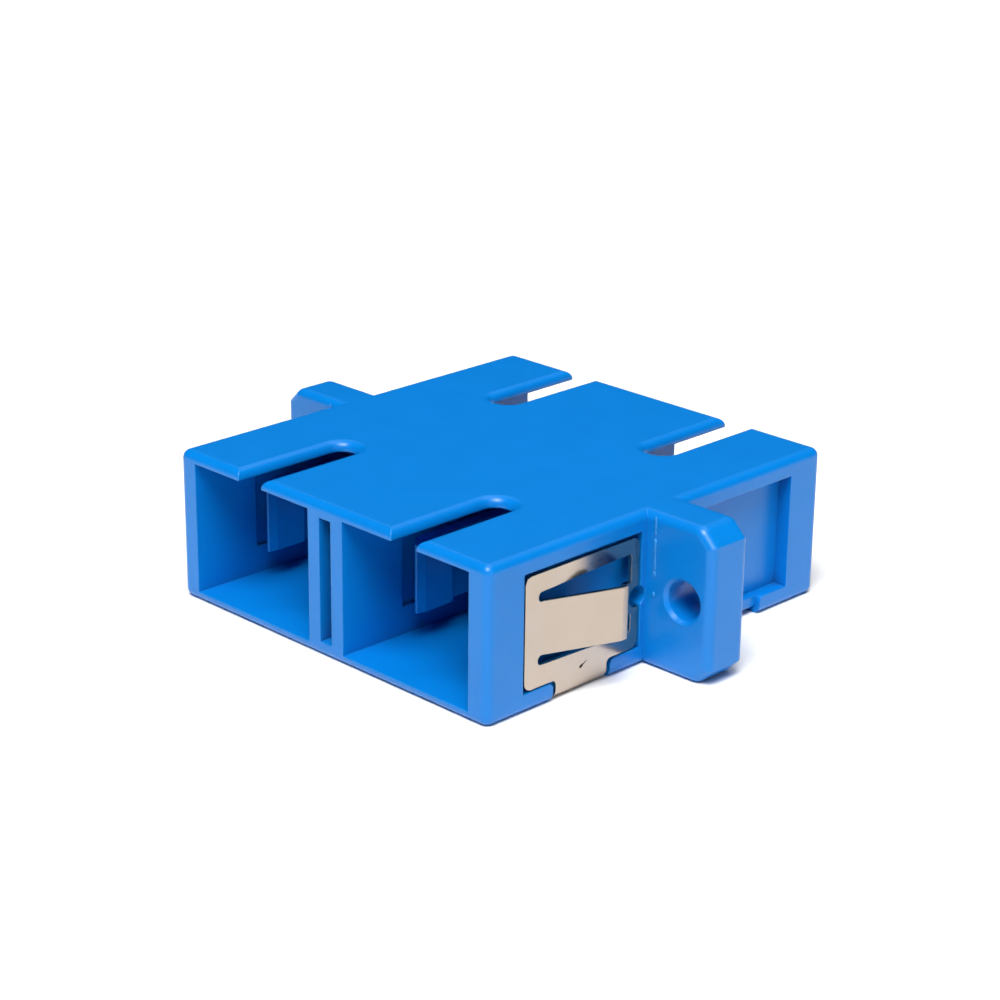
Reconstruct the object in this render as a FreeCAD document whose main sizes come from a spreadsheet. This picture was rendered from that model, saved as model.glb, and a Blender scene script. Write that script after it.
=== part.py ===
"""Duplex SC fibre adapter, panel mount, as a parametric document.

Frame: +Z up (the keyways face up), front mouths at -Y, +X to the right of
someone who looks into the front mouths.  The origin is the middle of the
flange: on the weld plane between the two housing halves, half way between
the two optical axes and level with them.

Pieces: two like housing halves welded face to face, four like latch inserts
trapped between them (one for each mouth), two split alignment sleeves that
float in the inserts' tubes, and one folded spring clip round the front half.
"""

import FreeCAD, Part
import os
import Sketcher

# Driving sizes in millimetres.  Each one can be changed by itself.
SIZES = {
    # ports
    "port_pitch": 12.7,  # from one optical axis to the other
    "port_width": 9.89,  # at the mouth
    "port_height": 7.96,
    "port_draft": 0.26,  # how far each side wall leans in by the weld plane
    # housing half
    "half_length": 13.7,  # from the weld plane to the mouths
    "side_wall": 1.405,  # from a mouth to the body's side
    "cover_wall": 0.59,  # above and below the mouths
    "edge_round": 0.52,
    # flange
    "flange_half": 1.5,  # each half's share of the flange
    "ear_reach": 4.75,  # from the body's side to the ear's end
    "ear_chamfer": 0.95,
    "ear_bend": 0.8,  # rounds the chamfers' upper and lower edges
    "ear_hole_bore": 2.3,
    "ear_hole_reach": 2.7,  # from the body's side to the hole's axis
    "ear_hole_rim": 0.2,
    # keyways in the top wall
    "keyway_width": 2.0,
    "keyway_length": 7.85,
    "keyway_corner": 0.9,
    # core pulled from the web between the ports
    "core_width": 0.94,
    "core_height": 7.4,
    "core_depth": 9.5,
    # locating pin and socket of the weld joint
    "locator_bore": 1.0,
    "locator_length": 0.8,
    "locator_gap": 0.05,
    "locator_reach": 0.3,  # from the body's side to the pin's axis
    "locator_level": 3.0,  # above the optical axes
    # gate mark beside the flange
    "gate_bore": 1.25,
    "gate_depth": 1.2,
    "gate_setback": 0.63,  # from the flange's face
    "gate_drop": 0.3,  # below the optical axes
    # side recess that takes the clip
    "recess_depth": 0.9,
    "recess_setback": 0.35,  # from the flange's face
    "ledge_level": 3.45,  # recess above and below the optical axes
    "ledge_round": 0.35,
    # spring clip
    "clip_sheet": 0.25,
    "clip_length": 8.85,
    "clip_corner": 0.5,
    "clip_inset": 0.05,  # below the body's outside
    "clip_seat_gap": 0.05,  # off the floor of its channel
    "clip_end_gap": 0.15,
    "clip_top_gap": 0.25,
    "clip_ledge_gap": 0.1,
    "clip_bend": 0.3,  # inside radius at the bottom corners
    "strap_width": 4.0,
    "strap_gap": 0.25,
    "strap_corner": 0.3,
    # window and spring tab of the clip
    "window_front": 1.0,  # plate left in front of the window
    "window_rear": 0.6,  # plate left behind the window
    "window_flare": 0.25,
    "window_corner": 0.25,
    "tab_width": 3.1,
    "tab_slot": 0.55,
    "tab_relief": 0.35,  # from the slots' ends to the fold
    "tab_run": 4.35,
    "tab_rise": 1.65,
    "tab_lip": 0.5,
    "tab_fold": 0.3,  # inside radius of the tab's folds
    "gate_land": 0.3,  # plate left round the gate mark
    # latch insert
    "insert_width": 10.3,
    "insert_base": 1.25,
    "insert_corner": 0.4,
    "insert_gap": 0.05,
    "insert_end_gap": 0.03,
    "tube_outside": 4.6,
    "tube_lip": 0.6,
    "tube_mouth": 2.9,
    "tube_lead_in": 0.25,
    "arm_reach": 9.75,  # from the weld plane to the tip
    "arm_height": 4.1,
    "arm_thickness": 0.65,
    "arm_place": 4.15,  # from the port's axis to the arm's outside
    "arm_root": 0.3,
    "hook_depth": 0.45,
    "hook_land": 2.1,
    "hook_slope": 0.55,
    "hook_lead": 0.15,  # how far the slope leans in
    "hook_tip": 0.15,  # flat left at the tip
    "hook_back": 0.85,  # bevel behind the tip, along the arm
    "relief_place": 5.15,  # from the port's axis to the room behind the arms
    "relief_gap": 0.25,
    "relief_setback": 0.48,  # behind the arm's tip
    # split sleeve
    "sleeve_outside": 3.2,
    "sleeve_inside": 2.49,
    "sleeve_length": 11.4,
    "sleeve_slit": 0.4,
    "sleeve_gap": 0.05,
    "sleeve_end_gap": 0.1,
    "sleeve_chamfer": 0.12,
}

# How far a cut runs past the face that it opens.
OVERCUT = 2.0

# How far two lengths may differ and still agree.
SLACK = 1e-4

# Sizes that follow from the driving ones, as expressions on the sheet.
AXIS = "Sizes.port_pitch / 2"
HALF_WIDTH = "(Sizes.port_pitch / 2 + Sizes.port_width / 2 + Sizes.side_wall)"
HALF_HEIGHT = "(Sizes.port_height / 2 + Sizes.cover_wall)"
EAR_END = f"({HALF_WIDTH} + Sizes.ear_reach)"
EAR_HOLE = f"({HALF_WIDTH} + Sizes.ear_hole_reach)"
LOCATOR = f"({HALF_WIDTH} + Sizes.locator_reach)"
GATE = "(Sizes.flange_half + Sizes.gate_setback)"
RECESS_NEAR = "(Sizes.flange_half + Sizes.recess_setback)"
RECESS_LENGTH = "(Sizes.clip_length + 2 * Sizes.clip_end_gap)"
RECESS_MIDDLE = f"({RECESS_NEAR} + {RECESS_LENGTH} / 2)"
CLIP_NEAR = f"({RECESS_MIDDLE} - Sizes.clip_length / 2)"
CLIP_FAR = f"({RECESS_MIDDLE} + Sizes.clip_length / 2)"
CLIP_TOP = "(Sizes.ledge_level - Sizes.clip_top_gap)"
CLIP_LEDGE = "(Sizes.ledge_level - Sizes.clip_ledge_gap)"
CHANNEL_DEPTH = "(Sizes.clip_inset + Sizes.clip_sheet + Sizes.clip_seat_gap)"
SLEEVE_ROOM = "(Sizes.sleeve_length / 2 + Sizes.sleeve_end_gap)"
TUBE_REACH = f"({SLEEVE_ROOM} + Sizes.tube_lip)"
TUBE_BORE = "(Sizes.sleeve_outside + 2 * Sizes.sleeve_gap)"
ARM_INNER = "(Sizes.arm_place - Sizes.arm_thickness)"
HOOK_INNER = f"({ARM_INNER} - Sizes.hook_depth)"


# Sheet and sketches


def add_sheet(doc):
    """Write the driving sizes to the sheet, one row and one alias each."""
    sheet = doc.addObject("Spreadsheet::Sheet", "Sizes")
    for row, (name, size) in enumerate(SIZES.items(), start=1):
        sheet.set(f"A{row}", name)
        sheet.set(f"B{row}", str(size))
        sheet.setAlias(f"B{row}", name)
    doc.recompute()


def number(body, expression):
    """Return the present value of an expression."""
    return float(body.evalExpression(expression))


def plane_of(body, role):
    """Return the body's own origin plane with this role."""
    return next(item for item in body.Origin.OriginFeatures if item.Role == role)


def add_sketch(body, name, role, offset=None):
    """Attach a sketch to an origin plane, moved along its normal by offset.

    The normals are +Z for XY_Plane, -Y for XZ_Plane and +X for YZ_Plane.
    """
    sketch = body.newObject("Sketcher::SketchObject", name)
    sketch.AttachmentSupport = (plane_of(body, role), [""])
    sketch.MapMode = "FlatFace"
    if offset is not None:
        sketch.setExpression(".AttachmentOffset.Base.z", offset)
    return sketch


def pin_point(sketch, body, curve, end, place):
    """Hold one point of a curve at a place given by two expressions."""
    for kind, expression in zip(("DistanceX", "DistanceY"), place):
        held = Sketcher.Constraint(kind, curve, end, number(body, expression))
        index = sketch.addConstraint(held)
        sketch.setExpression(f"Constraints[{index}]", expression)


def draw_outline(sketch, body, corners):
    """Draw a closed outline of straight lines through the corners."""
    first = sketch.GeometryCount
    count = len(corners)
    spots = [FreeCAD.Vector(number(body, a), number(body, b), 0) for a, b in corners]
    for index in range(count):
        sketch.addGeometry(Part.LineSegment(spots[index], spots[(index + 1) % count]))
    for index in range(count):
        after = (index + 1) % count
        joined = Sketcher.Constraint("Coincident", first + index, 2, first + after, 1)
        sketch.addConstraint(joined)
    for index, corner in enumerate(corners):
        pin_point(sketch, body, first + index, 1, corner)


def draw_box(sketch, body, middle, half_size):
    """Draw a rectangle from its middle and its half sizes."""
    (across, up), (half_across, half_up) = middle, half_size
    low, high = f"{across} - {half_across}", f"{across} + {half_across}"
    under, over = f"{up} - {half_up}", f"{up} + {half_up}"
    draw_outline(sketch, body, [(low, under), (high, under), (high, over), (low, over)])


def draw_circle(sketch, body, middle, bore):
    """Draw a circle from its middle and its diameter."""
    spot = FreeCAD.Vector(number(body, middle[0]), number(body, middle[1]), 0)
    up = FreeCAD.Vector(0, 0, 1)
    curve = sketch.addGeometry(Part.Circle(spot, up, number(body, bore) / 2))
    pin_point(sketch, body, curve, 3, middle)
    held = Sketcher.Constraint("Diameter", curve, number(body, bore))
    index = sketch.addConstraint(held)
    sketch.setExpression(f"Constraints[{index}]", bore)


# Features


def pad(body, sketch, name, length, reverse=False, both_ways=False):
    """Pad a sketch along its normal by length."""
    feature = body.newObject("PartDesign::Pad", name)
    feature.Profile = sketch
    feature.setExpression("Length", length)
    feature.Reversed = reverse
    feature.SideType = "Symmetric" if both_ways else "One side"
    body.Document.recompute()
    return feature


def pocket(body, sketch, name, length=None, along_normal=False, both_ways=False):
    """Cut a sketch away, against its normal unless along_normal is set.

    Without a length the cut goes through all.  A cut that takes nothing away
    stops the build.
    """
    before = body.Tip.Shape.Volume
    feature = body.newObject("PartDesign::Pocket", name)
    feature.Profile = sketch
    feature.Reversed = along_normal
    if length is None:
        feature.Type = "ThroughAll"
    else:
        feature.setExpression("Length", length)
    feature.SideType = "Symmetric" if both_ways else "One side"
    body.Document.recompute()
    if not feature.Shape.Volume < before:
        raise ValueError(f"{body.Label}: {name} cuts nothing")
    return feature


def mirror(body, name, originals):
    """Repeat features on the other side of the body's YZ plane."""
    feature = body.newObject("PartDesign::Mirrored", name)
    feature.Originals = originals
    feature.MirrorPlane = (plane_of(body, "YZ_Plane"), [""])
    body.Tip = feature
    body.Document.recompute()
    return feature


def dress(body, kind, name, size, chosen):
    """Round or chamfer the edges of the body's tip that chosen picks."""
    base = body.Tip
    edges = [
        f"Edge{index}"
        for index, edge in enumerate(base.Shape.Edges, start=1)
        if not edge.Degenerated and chosen(edge)
    ]
    if not edges:
        raise ValueError(f"{body.Label}: {name} finds no edge")
    feature = body.newObject(f"PartDesign::{kind}", name)
    feature.Base = (base, edges)
    feature.setExpression("Radius" if kind == "Fillet" else "Size", size)
    body.Document.recompute()
    return feature


# Edge tests


def same(first, second):
    """Tell whether two lengths agree."""
    return abs(first - second) < SLACK


def middle_of(edge):
    """Return the point half way along an edge."""
    return edge.valueAt((edge.FirstParameter + edge.LastParameter) / 2)


def is_along(edge, axis):
    """Tell whether an edge is straight and runs along x, y or z."""
    if edge.Curve.TypeId != "Part::GeomLine":
        return False
    return same(abs(getattr(edge.Curve.Direction, axis)), 1)


# Housing half


def build_housing(doc, name, turn):
    """Build one housing half: its mouths face -Y before the turn about Z."""
    body = doc.addObject("PartDesign::Body", name)
    body.Label = name
    add_shell(body)
    round_shell(body)
    add_mouths(body)
    add_insert_seats(body)
    add_ear_holes(body)
    add_clip_seats(body)
    add_locators(body)
    turned = FreeCAD.Rotation(FreeCAD.Vector(0, 0, 1), turn)
    body.Placement = FreeCAD.Placement(FreeCAD.Vector(0, 0, 0), turned)
    return body


def add_shell(body):
    """Add the outer block and half flange with keyways and rounded edges."""
    block = add_sketch(body, "block_outline", "XZ_Plane")
    draw_box(block, body, ("0", "0"), (HALF_WIDTH, HALF_HEIGHT))
    pad(body, block, "block", "Sizes.half_length")

    flange = add_sketch(body, "flange_outline", "XZ_Plane")
    reach = f"({EAR_END} - Sizes.ear_chamfer)"
    rise = f"({HALF_HEIGHT} - Sizes.ear_chamfer)"
    corners = [
        (reach, f"-{HALF_HEIGHT}"),
        (EAR_END, f"-{rise}"),
        (EAR_END, rise),
        (reach, HALF_HEIGHT),
        (f"-{reach}", HALF_HEIGHT),
        (f"-{EAR_END}", rise),
        (f"-{EAR_END}", f"-{rise}"),
        (f"-{reach}", f"-{HALF_HEIGHT}"),
    ]
    draw_outline(flange, body, corners)
    pad(body, flange, "flange", "Sizes.flange_half")

    slots = add_sketch(body, "keyway_outline", "XY_Plane")
    length = f"(Sizes.keyway_length + {OVERCUT})"
    middle = f"-(Sizes.half_length + {OVERCUT}) + {length} / 2"
    for side in ("-", ""):
        half_slot = ("Sizes.keyway_width / 2", f"{length} / 2")
        draw_box(slots, body, (side + AXIS, middle), half_slot)
    pocket(body, slots, "keyways", along_normal=True)


def round_shell(body):
    """Round the keyways' corners and every outer edge but those of the weld."""
    axis = number(body, AXIS)
    half_slot = number(body, "Sizes.keyway_width / 2")
    slot_end = number(body, "Sizes.keyway_length - Sizes.half_length")
    front = -number(body, "Sizes.half_length")
    flange_face = -number(body, "Sizes.flange_half")
    top = number(body, HALF_HEIGHT)
    half_width = number(body, HALF_WIDTH)
    ear_end = number(body, EAR_END)
    chamfer_start = ear_end - number(body, "Sizes.ear_chamfer")

    def is_slot_corner(edge):
        spot = middle_of(edge)
        beside = same(abs(abs(spot.x) - axis), half_slot)
        return is_along(edge, "z") and beside and same(spot.y, slot_end)

    def is_ear_bend(edge):
        spot = middle_of(edge)
        on_line = same(abs(spot.x), chamfer_start) and same(abs(spot.z), top)
        return is_along(edge, "y") and on_line

    def is_outer(edge):
        spot = middle_of(edge)
        wide = abs(spot.x)
        on_cover = same(abs(spot.z), top)
        if is_along(edge, "z"):
            on_block = same(wide, half_width) and same(spot.y, front)
            return on_block or same(wide, ear_end) and same(spot.y, flange_face)
        if is_along(edge, "y"):
            return on_cover and wide < half_width + SLACK
        on_face = same(spot.y, front) or same(spot.y, flange_face)
        return on_cover and not same(spot.y, 0) or on_face and abs(spot.z) > SLACK

    dress(body, "Fillet", "keyway_ends", "Sizes.keyway_corner", is_slot_corner)
    dress(body, "Fillet", "ear_bends", "Sizes.ear_bend", is_ear_bend)
    dress(body, "Fillet", "outer_edges", "Sizes.edge_round", is_outer)


def add_mouths(body):
    """Cut the two ports, narrower inwards, and core the web between them."""
    ports = add_sketch(body, "port_outline", "XY_Plane")
    front = "-Sizes.half_length"
    half_mouth = "Sizes.port_width / 2"
    half_throat = "(Sizes.port_width / 2 - Sizes.port_draft)"
    for side in ("-", ""):
        axis = side + AXIS
        corners = [
            (f"{axis} - {half_mouth}", front),
            (f"{axis} + {half_mouth}", front),
            (f"{axis} + {half_throat}", "0"),
            (f"{axis} - {half_throat}", "0"),
        ]
        draw_outline(ports, body, corners)
    pocket(body, ports, "ports", "Sizes.port_height", both_ways=True)

    core = add_sketch(body, "core_outline", "XZ_Plane", "Sizes.half_length")
    half_core = ("Sizes.core_width / 2", "Sizes.core_height / 2")
    draw_box(core, body, ("0", "0"), half_core)
    pocket(body, core, "core", "Sizes.core_depth")


def add_insert_seats(body):
    """Cut the pockets that trap the inserts, and the room behind the arms."""
    seats = add_sketch(body, "seat_outline", "XZ_Plane")
    half_seat = ("(Sizes.insert_width / 2 + Sizes.insert_gap)", "Sizes.port_height / 2")
    for side in ("-", ""):
        draw_box(seats, body, (side + AXIS, "0"), half_seat)
    seat_depth = "Sizes.insert_base + Sizes.insert_end_gap"
    pocket(body, seats, "insert_seats", seat_depth, along_normal=True)

    reliefs = add_sketch(body, "relief_outline", "XZ_Plane")
    half_relief = ("Sizes.relief_place", "(Sizes.arm_height / 2 + Sizes.relief_gap)")
    for side in ("-", ""):
        draw_box(reliefs, body, (side + AXIS, "0"), half_relief)
    relief_reach = "Sizes.arm_reach - Sizes.relief_setback"
    pocket(body, reliefs, "arm_reliefs", relief_reach, along_normal=True)


def add_ear_holes(body):
    """Drill the two screw holes through the ears and break their rims."""
    holes = add_sketch(body, "ear_hole_outline", "XZ_Plane")
    for side in ("-", ""):
        draw_circle(holes, body, (side + EAR_HOLE, "0"), "Sizes.ear_hole_bore")
    pocket(body, holes, "ear_holes", along_normal=True)

    ear_hole = number(body, EAR_HOLE)
    flange_face = -number(body, "Sizes.flange_half")

    def is_hole_rim(edge):
        if edge.Curve.TypeId != "Part::GeomCircle":
            return False
        centre = edge.Curve.Center
        return same(abs(centre.x), ear_hole) and same(centre.y, flange_face)

    dress(body, "Chamfer", "hole_rims", "Sizes.ear_hole_rim", is_hole_rim)


def add_clip_seats(body):
    """Cut the side recesses, the strap's channel and the gate marks."""
    floor = f"{HALF_WIDTH} - Sizes.recess_depth"
    recess = add_sketch(body, "recess_outline", "YZ_Plane", floor)
    half_recess = (f"{RECESS_LENGTH} / 2", "Sizes.ledge_level")
    draw_box(recess, body, (f"-{RECESS_MIDDLE}", "0"), half_recess)
    right_recess = pocket(body, recess, "recess", along_normal=True)

    gate_floor = f"{HALF_WIDTH} - Sizes.gate_depth"
    gate = add_sketch(body, "gate_outline", "YZ_Plane", gate_floor)
    draw_circle(gate, body, (f"-{GATE}", "-Sizes.gate_drop"), "Sizes.gate_bore")
    right_gate = pocket(body, gate, "gate_mark", along_normal=True)
    mirror(body, "left_recess", [right_recess, right_gate])

    half_channel = "(Sizes.strap_width / 2 + Sizes.strap_gap)"
    near_end = f"{RECESS_MIDDLE} - {half_channel}"
    channel = add_sketch(body, "channel_outline", "XZ_Plane", near_end)
    wide = f"({HALF_WIDTH} - {CHANNEL_DEPTH})"
    low = f"({HALF_HEIGHT} - {CHANNEL_DEPTH})"
    far = f"({HALF_WIDTH} + {OVERCUT})"
    deep = f"({HALF_HEIGHT} + {OVERCUT})"
    corners = [
        (far, "0"),
        (wide, "0"),
        (wide, f"-{low}"),
        (f"-{wide}", f"-{low}"),
        (f"-{wide}", "0"),
        (f"-{far}", "0"),
        (f"-{far}", f"-{deep}"),
        (far, f"-{deep}"),
    ]
    draw_outline(channel, body, corners)
    cut_length = f"2 * {half_channel}"
    pocket(body, channel, "strap_channel", cut_length, along_normal=True)

    middle = -number(body, RECESS_MIDDLE)
    half_length = number(body, half_channel)
    ledge = -number(body, "Sizes.ledge_level")
    side, bottom = number(body, wide), -number(body, low)

    def is_ledge_corner(edge):
        spot = middle_of(edge)
        beside = same(abs(spot.y - middle), half_length)
        return is_along(edge, "x") and beside and same(spot.z, ledge)

    dress(body, "Fillet", "ledge_corners", "Sizes.ledge_round", is_ledge_corner)

    def is_channel_corner(edge):
        spot = middle_of(edge)
        on_corner = same(abs(spot.x), side) and same(spot.z, bottom)
        return is_along(edge, "y") and on_corner

    dress(body, "Fillet", "channel_corners", "Sizes.clip_bend", is_channel_corner)


def add_locators(body):
    """Add a locating pin to one ear's weld face and a socket to the other's.

    The turned half has its socket where this one has its pin.
    """
    level = "Sizes.locator_level"
    pin = add_sketch(body, "pin_outline", "XZ_Plane")
    draw_circle(pin, body, (LOCATOR, level), "Sizes.locator_bore")
    pad(body, pin, "pin", "Sizes.locator_length", reverse=True)

    socket = add_sketch(body, "socket_outline", "XZ_Plane")
    bore = "Sizes.locator_bore + 2 * Sizes.locator_gap"
    draw_circle(socket, body, ("-" + LOCATOR, level), bore)
    socket_depth = "Sizes.locator_length + Sizes.locator_gap"
    pocket(body, socket, "socket", socket_depth, along_normal=True)


# Latch insert


def build_latch(doc, name, axis_sign, turn):
    """Build one latch insert on its port's axis, its arms to -Y before the turn."""
    body = doc.addObject("PartDesign::Body", name)
    body.Label = name

    base = add_sketch(body, "base_outline", "XZ_Plane")
    half_base = ("Sizes.insert_width / 2", "(Sizes.port_height / 2 - Sizes.insert_gap)")
    draw_box(base, body, ("0", "0"), half_base)
    pad(body, base, "base", "Sizes.insert_base")
    base_corner = "Sizes.insert_corner"
    dress(body, "Chamfer", "base_corners", base_corner, lambda edge: is_along(edge, "y"))

    tube = add_sketch(body, "tube_outline", "XZ_Plane")
    draw_circle(tube, body, ("0", "0"), "Sizes.tube_outside")
    pad(body, tube, "tube", TUBE_REACH)

    add_arms(body)

    bore = add_sketch(body, "sleeve_bore_outline", "XZ_Plane")
    draw_circle(bore, body, ("0", "0"), TUBE_BORE)
    pocket(body, bore, "sleeve_bore", SLEEVE_ROOM, along_normal=True)
    mouth = add_sketch(body, "tube_mouth_outline", "XZ_Plane")
    draw_circle(mouth, body, ("0", "0"), "Sizes.tube_mouth")
    pocket(body, mouth, "tube_mouth", along_normal=True)

    tube_end = -number(body, TUBE_REACH)
    mouth_radius = number(body, "Sizes.tube_mouth / 2")

    def is_tube_mouth(edge):
        if edge.Curve.TypeId != "Part::GeomCircle":
            return False
        at_end = same(edge.Curve.Center.y, tube_end)
        return at_end and same(edge.Curve.Radius, mouth_radius)

    dress(body, "Chamfer", "tube_lead_in", "Sizes.tube_lead_in", is_tube_mouth)

    turned = FreeCAD.Rotation(FreeCAD.Vector(0, 0, 1), turn)
    body.Placement = FreeCAD.Placement(FreeCAD.Vector(0, 0, 0), turned)
    body.setExpression(".Placement.Base.x", f"{axis_sign} * {AXIS}")
    return body


def add_arms(body):
    """Add the two hooked arms: one from a plan outline, the other mirrored."""
    arm = add_sketch(body, "arm_outline", "XY_Plane")
    base = "-Sizes.insert_base"
    tip = "-Sizes.arm_reach"
    slope_end = "-(Sizes.arm_reach - Sizes.hook_slope)"
    catch = "-(Sizes.arm_reach - Sizes.hook_slope - Sizes.hook_land)"
    bevel_end = "-(Sizes.arm_reach - Sizes.hook_back)"
    tip_inner = f"({HOOK_INNER} + Sizes.hook_lead)"
    corners = [
        ("Sizes.arm_place", base),
        (ARM_INNER, base),
        (ARM_INNER, catch),
        (HOOK_INNER, catch),
        (HOOK_INNER, slope_end),
        (tip_inner, tip),
        (f"{tip_inner} + Sizes.hook_tip", tip),
        ("Sizes.arm_place", bevel_end),
    ]
    draw_outline(arm, body, corners)
    right_arm = pad(body, arm, "right_arm", "Sizes.arm_height", both_ways=True)
    mirror(body, "left_arm", [right_arm])

    inner = number(body, ARM_INNER)
    foot = number(body, base)

    def is_root(edge):
        spot = middle_of(edge)
        at_foot = same(abs(spot.x), inner) and same(spot.y, foot)
        return is_along(edge, "z") and at_foot

    dress(body, "Chamfer", "arm_roots", "Sizes.arm_root", is_root)


# Split sleeve


def build_sleeve(doc, name, axis_sign):
    """Build one split sleeve: a tube on its port's axis, slit along the top."""
    body = doc.addObject("PartDesign::Body", name)
    body.Label = name

    ring = add_sketch(body, "ring_outline", "XZ_Plane")
    draw_circle(ring, body, ("0", "0"), "Sizes.sleeve_outside")
    draw_circle(ring, body, ("0", "0"), "Sizes.sleeve_inside")
    pad(body, ring, "ring", "Sizes.sleeve_length", both_ways=True)
    half_length = number(body, "Sizes.sleeve_length / 2")
    inner_radius = number(body, "Sizes.sleeve_inside / 2")

    def is_bore_rim(edge):
        if edge.Curve.TypeId != "Part::GeomCircle":
            return False
        at_end = same(abs(edge.Curve.Center.y), half_length)
        return at_end and same(edge.Curve.Radius, inner_radius)

    dress(body, "Chamfer", "bore_lead_ins", "Sizes.sleeve_chamfer", is_bore_rim)

    slit = add_sketch(body, "slit_outline", "XY_Plane")
    half_slit = ("Sizes.sleeve_slit / 2", f"Sizes.sleeve_length / 2 + {OVERCUT}")
    draw_box(slit, body, ("0", "0"), half_slit)
    pocket(body, slit, "slit", along_normal=True)
    body.setExpression(".Placement.Base.x", f"{axis_sign} * {AXIS}")
    return body


# Spring clip


def build_clip(doc, name):
    """Build the clip: one strip folded to a U, with a window and tab each side."""
    body = doc.addObject("PartDesign::Body", name)
    body.Label = name
    add_clip_strip(body)
    add_clip_windows(body)
    add_clip_tabs(body)
    add_clip_notches(body)
    return body


def add_clip_strip(body):
    """Fold the U and trim its bottom to the strap's width."""
    wide = f"({HALF_WIDTH} - Sizes.clip_inset)"
    low = f"({HALF_HEIGHT} - Sizes.clip_inset)"
    inside = f"({wide} - Sizes.clip_sheet)"
    floor = f"({low} - Sizes.clip_sheet)"
    strip = add_sketch(body, "strip_outline", "XZ_Plane", CLIP_NEAR)
    corners = [
        (wide, CLIP_TOP),
        (inside, CLIP_TOP),
        (inside, f"-{floor}"),
        (f"-{inside}", f"-{floor}"),
        (f"-{inside}", CLIP_TOP),
        (f"-{wide}", CLIP_TOP),
        (f"-{wide}", f"-{low}"),
        (wide, f"-{low}"),
    ]
    draw_outline(strip, body, corners)
    pad(body, strip, "strip", "Sizes.clip_length")

    bend_x, bend_z = number(body, inside), -number(body, floor)
    outer_x, outer_z = number(body, wide), -number(body, low)

    def is_at(edge, across, up):
        spot = middle_of(edge)
        on_line = same(abs(spot.x), across) and same(spot.z, up)
        return is_along(edge, "y") and on_line

    inner_bend = "Sizes.clip_bend"
    outer_bend = "Sizes.clip_bend + Sizes.clip_sheet"
    dress(body, "Fillet", "inner_bends", inner_bend, lambda e: is_at(e, bend_x, bend_z))
    dress(body, "Fillet", "outer_bends", outer_bend, lambda e: is_at(e, outer_x, outer_z))

    trim = add_sketch(body, "trim_outline", "YZ_Plane")
    under = f"-({HALF_HEIGHT} + {OVERCUT})"
    strap_near = f"-({RECESS_MIDDLE} - Sizes.strap_width / 2)"
    strap_far = f"-({RECESS_MIDDLE} + Sizes.strap_width / 2)"
    beyond_near = f"-({CLIP_NEAR} - {OVERCUT})"
    beyond_far = f"-({CLIP_FAR} + {OVERCUT})"
    for start, end in ((beyond_far, strap_far), (strap_near, beyond_near)):
        ledge = f"-{CLIP_LEDGE}"
        corners = [(start, under), (end, under), (end, ledge), (start, ledge)]
        draw_outline(trim, body, corners)
    pocket(body, trim, "strap_trim", both_ways=True)

    near, far = number(body, f"-{CLIP_NEAR}"), number(body, f"-{CLIP_FAR}")
    strap_ends = [number(body, strap_near), number(body, strap_far)]
    ledge_z = -number(body, CLIP_LEDGE)

    def is_plate_corner(edge):
        spot = middle_of(edge)
        return is_along(edge, "x") and (same(spot.y, near) or same(spot.y, far))

    def is_strap_corner(edge):
        spot = middle_of(edge)
        at_end = any(same(spot.y, end) for end in strap_ends)
        return is_along(edge, "x") and at_end and same(spot.z, ledge_z)

    dress(body, "Fillet", "plate_corners", "Sizes.clip_corner", is_plate_corner)
    dress(body, "Fillet", "strap_corners", "Sizes.strap_corner", is_strap_corner)


def add_clip_windows(body):
    """Cut the window in each side plate and leave the root of its tab."""
    window = add_sketch(body, "window_outline", "YZ_Plane")
    front = f"-({CLIP_FAR} - Sizes.window_front)"
    rear = f"-({CLIP_NEAR} + Sizes.window_rear)"
    fold = f"{front} + Sizes.tab_relief"
    tab = "Sizes.tab_width / 2"
    slot = "(Sizes.tab_width / 2 + Sizes.tab_slot)"
    flared = f"({slot} + Sizes.window_flare)"
    corners = [
        (front, tab),
        (front, slot),
        (rear, flared),
        (rear, f"-{flared}"),
        (front, f"-{slot}"),
        (front, f"-{tab}"),
        (fold, f"-{tab}"),
        (fold, tab),
    ]
    draw_outline(window, body, corners)
    pocket(body, window, "windows", both_ways=True)

    ends = [number(body, end) for end in (front, rear)]
    levels = [number(body, level) for level in (tab, slot, flared)]

    def is_window_corner(edge):
        spot = middle_of(edge)
        at_end = any(same(spot.y, end) for end in ends)
        at_level = any(same(abs(spot.z), level) for level in levels)
        return is_along(edge, "x") and at_end and at_level

    dress(body, "Fillet", "window_corners", "Sizes.window_corner", is_window_corner)


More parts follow.
